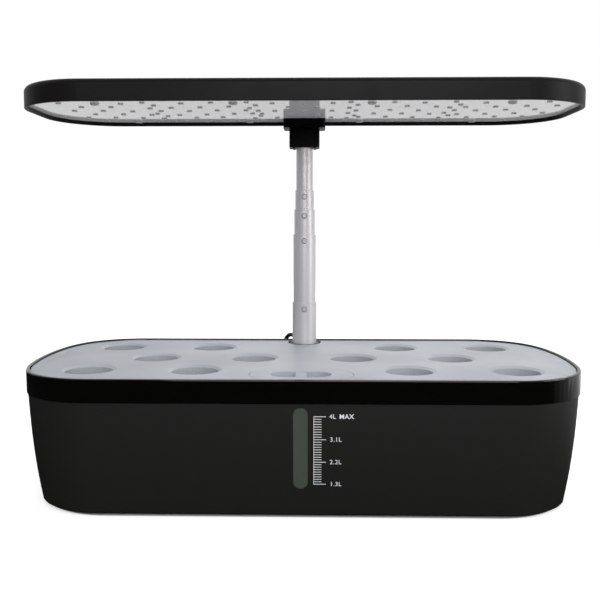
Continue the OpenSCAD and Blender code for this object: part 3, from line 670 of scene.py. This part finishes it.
def smooth_route(points, per_span):
    """Points of a smooth curve through the given ones."""
    points = [Vector(p) for p in points]
    ends = [2 * points[0] - points[1], *points, 2 * points[-1] - points[-2]]
    route = []
    for a, b, c, d in zip(ends, ends[1:], ends[2:], ends[3:]):
        for i in range(per_span):
            t = i / per_span
            route.append(0.5 * (2 * b + (c - a) * t + (2 * a - 5 * b + 4 * c - d) * t * t
                                + (3 * b - a - 3 * c + d) * t ** 3))
    return [*route, points[-1]]


def coil_route(diameter):
    """The coil's line: four layers that wind in and out, each climb in the half turn where the spiral reverses."""
    pitch = diameter + COIL_GAP
    outer = COIL_MEAN_RADIUS + LAYER_TURNS * pitch / 2
    start = Vector(LEAD_ROUTE[-1]) - Vector((diameter, 0, 0))
    route = [Vector(LEAD_ROUTE[-1])]
    for i in range(int(COIL_LAYERS * LAYER_TURNS * COIL_STEPS) + 1):
        turn = i / COIL_STEPS
        inside = turn % (2 * LAYER_TURNS)
        inside = min(inside, 2 * LAYER_TURNS - inside)
        nearest = math.floor(turn / LAYER_TURNS + 0.5)
        past = turn - nearest * LAYER_TURNS
        if nearest < 1:
            layer = 0
        elif nearest > COIL_LAYERS - 1:
            layer = COIL_LAYERS - 1
        elif abs(past) <= CLIMB_TURN:
            layer = nearest - 0.5 + past / (2 * CLIMB_TURN)
        else:
            layer = nearest - 1 if past < 0 else nearest
        radius = outer - pitch * inside
        angle = -math.pi / 2 - math.tau * turn
        route.append(Vector((start.x + radius * math.cos(angle), start.y + outer + radius * math.sin(angle),
                             start.z + pitch * layer)))
    route.append(route[-1] - Vector((diameter, 0, 0)))
    return route


class GARDEN_OT_supply_lead(bpy.types.Operator):
    """Make the supply lead with its coil, and dress its relief, tie, adapter and prongs"""
    bl_idname = "garden.supply_lead"
    bl_label = "Supply lead"

    def execute(self, context):
        diameter = sizes_of().lead_diameter
        sheath = moulded("lead_sheath", finish_of().sheath, (0.36, 0.48), dust=0.02, grain=0.25, grain_scale=1500,
                         specular=0.25)
        route = smooth_route(LEAD_ROUTE, ROUTE_STEPS)[:-1] + coil_route(diameter)
        data = bpy.data.curves.new("supply_lead", "CURVE")
        data.dimensions = "3D"
        data.bevel_depth = diameter / 2
        data.bevel_resolution = 3
        data.use_fill_caps = True
        spline = data.splines.new("POLY")
        spline.points.add(len(route) - 1)
        for point, place in zip(spline.points, route):
            point.co = (*place, 1)
        lead = bpy.data.objects.new("supply_lead", data)
        context.scene.collection.objects.link(lead)
        data.materials.append(sheath)
        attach(lead, "root")
        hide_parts("lead_run", "lead_coil")
        relief = self.relief(sheath)
        tie = self.tie()
        self.adapter()
        return {"FINISHED"}

    def relief(self, sheath):
        """A tapered relief with rings pressed into it."""
        tip = Vector(LEAD_ROUTE[0])
        axis = (Vector(LEAD_ROUTE[1]) - tip).normalized()
        profile = [(0, -RELIEF_LENGTH)]
        for i in range(RELIEF_RINGS * 4 + 1):
            along = i / (RELIEF_RINGS * 4)
            radius = RELIEF_FOOT + (RELIEF_TIP - RELIEF_FOOT) * along
            if i % 4 == 2:
                radius -= RING_DEPTH
            profile.append((radius, -RELIEF_LENGTH * (1 - along)))
        profile.append((0, 0))
        bm = bmesh.new()
        add_spun(bm, profile, tip, axis, RELIEF_SIDES)
        relief = piece_from(bm, "ribbed_strain_relief", sheath, "root")
        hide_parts("strain_relief")
        return relief

    def tie(self):
        """A woven band round the bundle of turns, with round corners."""
        low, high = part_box("coil_tie")
        bm = bmesh.new()
        add_block(bm, low, high)
        along = [e for e in bm.edges if abs((e.verts[0].co - e.verts[1].co).x) > LEVEL]
        bmesh.ops.bevel(bm, geom=along, offset=TIE_CORNER, segments=4, profile=0.5, affect="EDGES", material=-1)
        ends = [f for f in bm.faces if abs(f.normal.x) > 0.9]
        bmesh.ops.delete(bm, geom=ends, context="FACES_ONLY")
        bmesh.ops.recalc_face_normals(bm, faces=bm.faces)
        bmesh.ops.solidify(bm, geom=list(bm.faces), thickness=TIE_THICKNESS)
        weave = moulded("tie_weave", (0.018, 0.018, 0.019), (0.8, 0.95), dust=0.1, grain=1.0, grain_scale=900)
        tie = piece_from(bm, "woven_tie", weave, "root")
        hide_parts("coil_tie")
        return tie

    def adapter(self):
        paint("power_adapter", moulded("adapter_black", (0.016, 0.016, 0.016), (0.42, 0.55), dust=0.12))
        paint("adapter_prongs", satin_metal("prong_nickel", (0.75, 0.71, 0.62), base=0.18, rings=0.05))


def face_y(z):
    """Where the tank's front face lies at a height."""
    rise = BAND_HIGH.z - z
    return BAND_LOW.y + BAND_OVERHANG + PROFILE_RADIUS - math.sqrt(PROFILE_RADIUS ** 2 - rise ** 2)


def lay_on_face(mesh):
    """Bends a flat print in X and Z onto the tank's front face."""
    for vert in mesh.vertices:
        vert.co.y += face_y(vert.co.z) - INK_RAISED
    mesh.update()


class GARDEN_OT_tank(bpy.types.Operator):
    """Dress the tank, its trim band and its feet"""
    bl_idname = "garden.tank"
    bl_label = "Tank"

    def execute(self, context):
        finish = finish_of()
        shell = moulded("tank_shell", finish.shell, (0.40, 0.50), dust=0.02, grain=0.55, grain_scale=2400,
                        specular=0.3)
        tank = bowed("tank", "water_tank", "root")
        follow_arc(tank.data)
        paint(tank, shell)
        paint("pole_bush", shell)
        band = bowed("rim_band", "trim_band", "root", sharp=12)
        paint(band, polished("band_gloss", finish.band, base=0.05, smear=0.04, wave=0.03))
        paint("feet", moulded("foot_rubber", (0.012, 0.012, 0.012), (0.75, 0.9), grain=0.6, grain_scale=1800))
        return {"FINISHED"}


class GARDEN_OT_window(bpy.types.Operator):
    """Dress the water window and print the level scale beside it"""
    bl_idname = "garden.window"
    bl_label = "Water window"

    def execute(self, context):
        finish = finish_of()
        paint("water_window", polished("smoked_window", finish.window, base=0.12, smear=0.05, wave=0.02))
        ink = moulded("scale_ink", finish.print_ink, (0.45, 0.55), grain=0.1)
        self.marks(ink)
        self.numbers(ink)
        return {"FINISHED"}

    def marks(self, ink):
        """The scale's marks and the upright line that they stand on."""
        sizes = sizes_of()
        left, low, high = sizes.scale_left, sizes.scale_low, sizes.scale_high
        bm = bmesh.new()
        per_long = sizes.scale_steps // 3
        for i in range(sizes.scale_steps + 1):
            length = sizes.short_mark if i % per_long else sizes.long_mark
            z = low + i * (high - low) / sizes.scale_steps
            add_block(bm, (left, -INK_PROUD, z - LINE_HALF), (left + length, INK_DEEP, z + LINE_HALF))
        rise = (high - low + 2 * LINE_HALF) / UPRIGHT_PIECES
        for i in range(UPRIGHT_PIECES):
            foot = low - LINE_HALF + i * rise
            add_block(bm, (left - UPRIGHT_SHARE * LINE_HALF, -INK_PROUD, foot),
                      (left + UPRIGHT_SHARE * LINE_HALF, INK_DEEP, foot + rise))
        marks = piece_from(bm, "scale_marks", ink, "root", smooth=False)
        lay_on_face(marks.data)

    def numbers(self, ink):
        sizes = sizes_of()
        third = (sizes.scale_high - sizes.scale_low) / 3
        # Each label: its words, its height in thirds of the scale, its place to the right, how much its strokes swell
        labels = (("1.3L", 0, 0.0006, 0), ("2.2L", 1, 0.0004, 0), ("3.1L", 2, 0.0004, 0), ("4L", 3, 0, 0),
                  ("MAX", 3, sizes.max_shift, 0.00008))
        for i, (words, level, shift, swell) in enumerate(labels):
            name = "scale_number_%d" % i
            mesh = self.letters(name, words, swell)
            left = sizes.scale_left + sizes.long_mark + LABEL_GAP + shift
            mesh.transform(Matrix.Translation((left, 0, sizes.scale_low + level * third))
                           @ Matrix.Rotation(math.pi / 2, 4, "X"))
            lay_on_face(mesh)
            mesh.materials.clear()
            mesh.materials.append(ink)
            number = bpy.data.objects.new(name, mesh)
            bpy.context.scene.collection.objects.link(number)
            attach(number, "root")

    def letters(self, name, words, swell):
        """A mesh of words, flat in X and Y."""
        data = bpy.data.curves.new(name, "FONT")
        data.body = words
        data.size = sizes_of().letter_height / CAPITAL_SHARE
        data.extrude = INK_PROUD
        data.offset = swell
        data.resolution_u = 3
        data.align_y = "CENTER"
        data.space_character = 1.07
        label = bpy.data.objects.new(name + "_curve", data)
        bpy.context.scene.collection.objects.link(label)
        bpy.context.view_layer.update()
        mesh = bpy.data.meshes.new_from_object(label.evaluated_get(bpy.context.evaluated_depsgraph_get()))
        bpy.data.objects.remove(label)
        return mesh


class GARDEN_OT_deck(bpy.types.Operator):
    """Dress the planting deck and its fill lid"""
    bl_idname = "garden.deck"
    bl_label = "Planting deck"

    def execute(self, context):
        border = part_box("deck")[1].z - BORDER_DROP
        deck = bowed("deck", "planting_deck", "deck", sharp=12, lift_at=border, lift=BORDER_LIFT)
        for piece, name in ((deck, "deck_plastic"), ("fill_lid", "lid_plastic")):
            paint(piece, moulded(name, finish_of().deck, (0.42, 0.52), grain=0.3, grain_scale=2200, specular=0.28))
        return {"FINISHED"}


class GARDEN_OT_pole(bpy.types.Operator):
    """Dress the telescopic pole"""
    bl_idname = "garden.pole"
    bl_label = "Pole"

    def execute(self, context):
        finish = finish_of()
        metal = satin_metal("pole_metal", finish.pole, base=0.36, rings=0.01, marks=0.02, metallic=0.45)
        glide = moulded("glide_plastic", (0.7, 0.7, 0.68), (0.4, 0.5))
        for k in range(1, 6):
            paint("tube_%d" % k, metal)
        for k in range(1, 5):
            paint("glide_%d" % k, glide)
        paint("lamp_lead", moulded("inner_lead", finish.sheath, (0.4, 0.5)))
        button = satin_metal("detent_metal", (0.50, 0.49, 0.50), base=0.36, rings=0.01, marks=0.02, metallic=0.45)
        # Dark colour of the disc under each button: painted shade for the gap round it
        gap_shade = moulded("detent_gap_shade", (0.12, 0.118, 0.12), (0.4, 0.5))
        for k in range(2, 6):
            self.detent(k, button, gap_shade)
        return {"FINISHED"}

    def detent(self, k, button, gap_shade):
        """A domed button on a dark disc, over the dimple near the top of a tube; the disc's rim round the button is
        painted shade for the gap there.
        """
        low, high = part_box("tube_%d" % k)
        radius = (high.x - low.x) / 2
        axis = Vector(((low.x + high.x) / 2, (low.y + high.y) / 2, high.z - DIMPLE_DOWN))
        away = sizes_of().detent_radius
        body = "root" if k == 5 else "tube_%d" % k
        for name, profile, material in (("detent_groove_%d" % k, GAP_SHADE_PROFILE, gap_shade),
                                        ("detent_button_%d" % k, BUTTON_PROFILE, button)):
            bm = bmesh.new()
            rings = [[bm.verts.new(self.on_tube(axis, radius + out, share * away, i / DETENT_STEPS))
                      for i in range(DETENT_STEPS)] for share, out in profile]
            for inner, outer in zip(rings[1:], rings):
                for i in range(DETENT_STEPS):
                    bm.faces.new((outer[i], outer[i - 1], inner[i - 1], inner[i]))
            bm.faces.new(rings[-1])
            bm.faces.new(rings[0][::-1])
            piece_from(bm, name, material, body)

    def on_tube(self, axis, radius, away, turn):
        """A point of a ring that is laid on a tube's front: away is the ring's radius, turn goes from 0 to 1."""
        across = away * math.cos(math.tau * turn) / radius
        return axis + Vector((radius * math.sin(across), -radius * math.cos(across),
                              away * math.sin(math.tau * turn)))


class GARDEN_OT_lamp(bpy.types.Operator):
    """Dress the lamp, its board, its chips, its socket and its buttons"""
    bl_idname = "garden.lamp"
    bl_label = "Lamp"

    def execute(self, context):
        finish = finish_of()
        paint("lamp_housing", moulded("lamp_plastic", finish.lamp, (0.34, 0.46), dust=0.02, grain_scale=2400,
                                      specular=0.12))
        paint("lamp_socket", moulded("socket_plastic", (0.001, 0.001, 0.001), (0.36, 0.46), grain=0.4,
                                     grain_scale=2400, specular=0.08))
        paint("led_board", polished("board_gloss", finish.board, base=0.05, smear=0.02, wave=0.01))
        paint("lamp_screws", satin_metal("screw_steel", (0.42, 0.42, 0.42), base=0.45, rings=0.02, metallic=0.3))
        paint("control_board", moulded("circuit_green", (0.02, 0.10, 0.04), (0.25, 0.35)))
        paint("tact_switches", moulded("switch_black", (0.02, 0.02, 0.02), (0.4, 0.5)))
        self.chips("white_leds", "white_chips", "white_chip", finish.white_chip)
        self.chips("red_leds", "red_chips", "red_chip", finish.red_chip)
        button = moulded("button_plastic", (0.035, 0.035, 0.035), (0.35, 0.45), dust=0.03)
        paint("light_button", button)
        paint("mode_button", button)
        return {"FINISHED"}

    def chips(self, node, name, slot, tint):
        """Each chip is a pale package with a sunk, domed lens."""
        package = polished(name + "_package", (0.40, 0.40, 0.39), base=0.3, smear=0.03)
        lens = polished(name + "_lens", tint, base=0.1, smear=0.02, coat=0.4)
        bm = bmesh.new()
        for low, high in islands_of(NODES[node]):
            add_block(bm, low, high, CHIP_BEVEL)
            middle = (low + high) / 2
            under = min((f for f in bm.faces if f.normal.z < -0.9),
                        key=lambda f: (f.calc_center_median() - middle).length)
            bmesh.ops.inset_individual(bm, faces=[under], thickness=CHIP_RIM, depth=-CHIP_SUNK)
            edge = bmesh.ops.inset_individual(bm, faces=[under], thickness=LENS_EDGE, depth=LENS_RISE)
            for face in (under, *edge["faces"]):
                face.material_index = 1
        chips = piece_from(bm, name, package, "lamp", smooth=False)
        chips.data.materials.append(lens)
        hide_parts(node)


class GARDEN_OT_pump(bpy.types.Operator):
    """Dress the circulation pump in the tank"""
    bl_idname = "garden.pump"
    bl_label = "Pump"

    def execute(self, context):
        black = moulded("pump_plastic", (0.012, 0.012, 0.013), (0.38, 0.5))
        for name in ("pump_body", "pump_cover", "pump_nozzle"):
            paint(name, black)
        paint("suction_cups", moulded("cup_rubber", (0.015, 0.015, 0.015), (0.6, 0.75)))
        paint("impeller_shaft", polished("ceramic", (0.8, 0.8, 0.78), base=0.15, smear=0.02))
        paint("impeller", moulded("impeller_plastic", (0.6, 0.6, 0.64), (0.35, 0.45)))
        paint("pump_lead", moulded("pump_sheath", finish_of().sheath, (0.4, 0.5)))
        return {"FINISHED"}


class GARDEN_PT_panel(bpy.types.Panel):
    bl_idname = "GARDEN_PT_panel"
    bl_label = "Hydroponic garden"
    bl_space_type = "VIEW_3D"
    bl_region_type = "UI"
    bl_category = "Garden"

    def draw(self, context):
        layout = self.layout
        for operator in OPERATORS:
            layout.operator(operator.bl_idname)
        for group in (context.scene.garden_finish, context.scene.garden_sizes, context.scene.garden_camera):
            box = layout.box()
            for name in group.__annotations__:
                box.prop(group, name)


OPERATORS = (
    GARDEN_OT_studio, GARDEN_OT_supply_lead, GARDEN_OT_tank, GARDEN_OT_window, GARDEN_OT_deck, GARDEN_OT_pole,
    GARDEN_OT_lamp, GARDEN_OT_pump,
)
CLASSES = (GardenFinish, GardenSizes, GardenCamera, *OPERATORS, GARDEN_PT_panel)


def register():
    for cls in CLASSES:
        bpy.utils.register_class(cls)
    bpy.types.Scene.garden_finish = PointerProperty(type=GardenFinish)
    bpy.types.Scene.garden_sizes = PointerProperty(type=GardenSizes)
    bpy.types.Scene.garden_camera = PointerProperty(type=GardenCamera)


def unregister():
    del bpy.types.Scene.garden_camera
    del bpy.types.Scene.garden_sizes
    del bpy.types.Scene.garden_finish
    for cls in reversed(CLASSES):
        bpy.utils.unregister_class(cls)


def main():
    register()
    bpy.ops.garden.studio()
    bpy.ops.garden.supply_lead()
    bpy.ops.garden.tank()
    bpy.ops.garden.window()
    bpy.ops.garden.deck()
    bpy.ops.garden.pole()
    bpy.ops.garden.lamp()
    bpy.ops.garden.pump()


if __name__ == "__main__":
    main()
